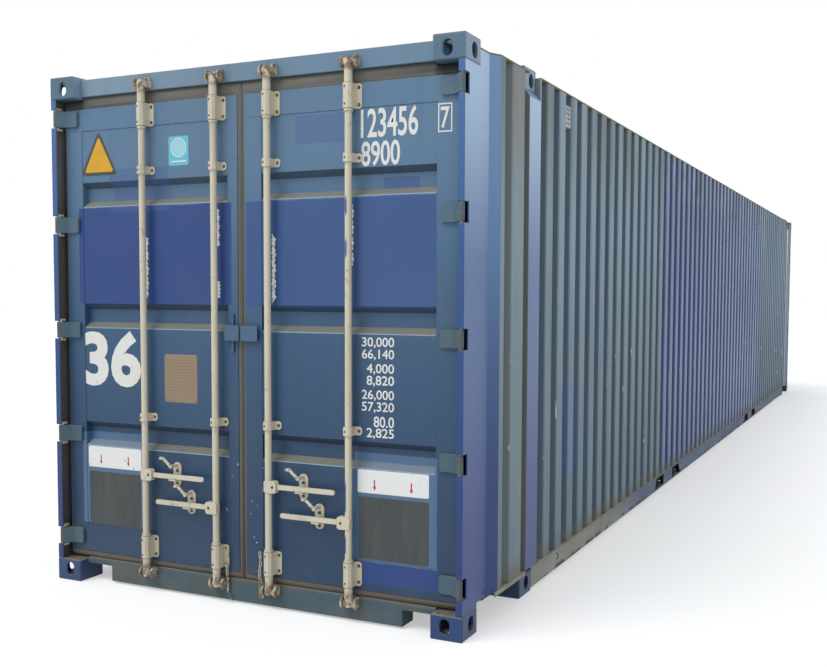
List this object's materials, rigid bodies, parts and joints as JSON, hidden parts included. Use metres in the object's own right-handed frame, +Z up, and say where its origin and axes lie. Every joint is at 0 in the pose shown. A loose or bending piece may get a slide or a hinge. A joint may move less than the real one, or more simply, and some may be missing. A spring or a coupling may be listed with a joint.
{
  "type": "shipping container",
  "caption": "Long steel freight container with corrugated walls, hollow corner castings and double end doors with upright locking bars, handles and hooks.",
  "frame": {"origin": "middle of the footprint, on the ground", "axes": "+Z up, +Y along the container away from the doors, +X to the right when facing the doors"},
  "size_m": [2.5, 13.716, 2.743],
  "materials": {
    "frame_paint": "semi-gloss blue paint, dusty",
    "wall_paint": "faded and chalky blue-green paint",
    "door_paint": "satin blue paint with repaired patches",
    "gear_zinc": "weathered zinc with light rust",
    "seal_rubber": "aged black rubber, dusty",
    "floor_wood": "worn plywood"
  },
  "bodies": {
    "container": {"bottom_corner_castings": "frame_paint", "top_corner_castings": "frame_paint", "inner_bottom_castings": "frame_paint", "inner_top_castings": "frame_paint", "door_end_posts": "frame_paint", "front_end_posts": "frame_paint", "door_header": "door_paint", "door_sill": "door_paint", "front_header": "frame_paint", "front_sill": "frame_paint", "right_side_wall": "wall_paint", "left_side_wall": "wall_paint", "front_wall": "wall_paint", "roof": "wall_paint", "floor": "floor_wood", "cross_members": "wall_paint", "forty_foot_posts": "frame_paint", "forty_foot_beams": "frame_paint", "bottom_side_rails": "wall_paint", "top_side_rails": "wall_paint", "hinge_pins": "frame_paint", "keepers": "gear_zinc", "ventilators": "wall_paint"},
    "left_door": {"left_door_frame": "door_paint", "left_door_panel": "door_paint", "left_door_gasket": "seal_rubber", "left_door_hinges": "door_paint", "left_door_brackets": "gear_zinc"},
    "right_door": {"right_door_frame": "door_paint", "right_door_panel": "door_paint", "right_door_gasket": "seal_rubber", "right_door_hinges": "door_paint", "right_door_brackets": "gear_zinc"},
    "bar_1": {"locking_bar_1": "gear_zinc"},
    "handle_1": {"handle_1": "gear_zinc"},
    "hook_1": {"handle_hook_1": "gear_zinc"},
    "bar_2": {"locking_bar_2": "gear_zinc"},
    "handle_2": {"handle_2": "gear_zinc"},
    "hook_2": {"handle_hook_2": "gear_zinc"},
    "bar_3": {"locking_bar_3": "gear_zinc"},
    "handle_3": {"handle_3": "gear_zinc"},
    "hook_3": {"handle_hook_3": "gear_zinc"},
    "bar_4": {"locking_bar_4": "gear_zinc"},
    "handle_4": {"handle_4": "gear_zinc"},
    "hook_4": {"handle_hook_4": "gear_zinc"}
  },
  "joints": [
    {"name": "left_door_hinge", "type": "hinge", "parent": "container", "child": "left_door", "pos_m": [-1.196, -6.84, 1.384], "axis": [0, 0, -1], "range_deg": [0, 261]},
    {"name": "right_door_hinge", "type": "hinge", "parent": "container", "child": "right_door", "pos_m": [1.196, -6.84, 1.384], "axis": [0, 0, 1], "range_deg": [0, 261]},
    {"name": "bar_1_turn", "type": "hinge", "parent": "left_door", "child": "bar_1", "pos_m": [-0.615, -6.834, 1.385], "axis": [0, 0, 1], "range_deg": [-100, 0]},
    {"name": "handle_1_lift", "type": "hinge", "parent": "bar_1", "child": "handle_1", "pos_m": [-0.581, -6.839, 0.63], "axis": [0, -1, 0], "range_deg": [0, 8]},
    {"name": "hook_1_swing", "type": "hinge", "parent": "left_door", "child": "hook_1", "pos_m": [-0.433, -6.853, 0.685], "axis": [0, 1, 0], "range_deg": [-125, 0]},
    {"name": "bar_2_turn", "type": "hinge", "parent": "left_door", "child": "bar_2", "pos_m": [-0.16, -6.834, 1.385], "axis": [0, 0, -1], "range_deg": [-100, 0]},
    {"name": "handle_2_lift", "type": "hinge", "parent": "bar_2", "child": "handle_2", "pos_m": [-0.194, -6.839, 0.49], "axis": [0, 1, 0], "range_deg": [0, 8]},
    {"name": "hook_2_swing", "type": "hinge", "parent": "left_door", "child": "hook_2", "pos_m": [-0.342, -6.853, 0.545], "axis": [0, 1, 0], "range_deg": [-125, 0]},
    {"name": "bar_3_turn", "type": "hinge", "parent": "right_door", "child": "bar_3", "pos_m": [0.16, -6.834, 1.385], "axis": [0, 0, 1], "range_deg": [-100, 0]},
    {"name": "handle_3_lift", "type": "hinge", "parent": "bar_3", "child": "handle_3", "pos_m": [0.194, -6.839, 0.63], "axis": [0, -1, 0], "range_deg": [0, 8]},
    {"name": "hook_3_swing", "type": "hinge", "parent": "right_door", "child": "hook_3", "pos_m": [0.342, -6.853, 0.685], "axis": [0, 1, 0], "range_deg": [-125, 0]},
    {"name": "bar_4_turn", "type": "hinge", "parent": "right_door", "child": "bar_4", "pos_m": [0.615, -6.834, 1.385], "axis": [0, 0, -1], "range_deg": [-100, 0]},
    {"name": "handle_4_lift", "type": "hinge", "parent": "bar_4", "child": "handle_4", "pos_m": [0.581, -6.839, 0.49], "axis": [0, 1, 0], "range_deg": [0, 8]},
    {"name": "hook_4_swing", "type": "hinge", "parent": "right_door", "child": "hook_4", "pos_m": [0.433, -6.853, 0.545], "axis": [0, 1, 0], "range_deg": [-125, 0]}
  ]
}
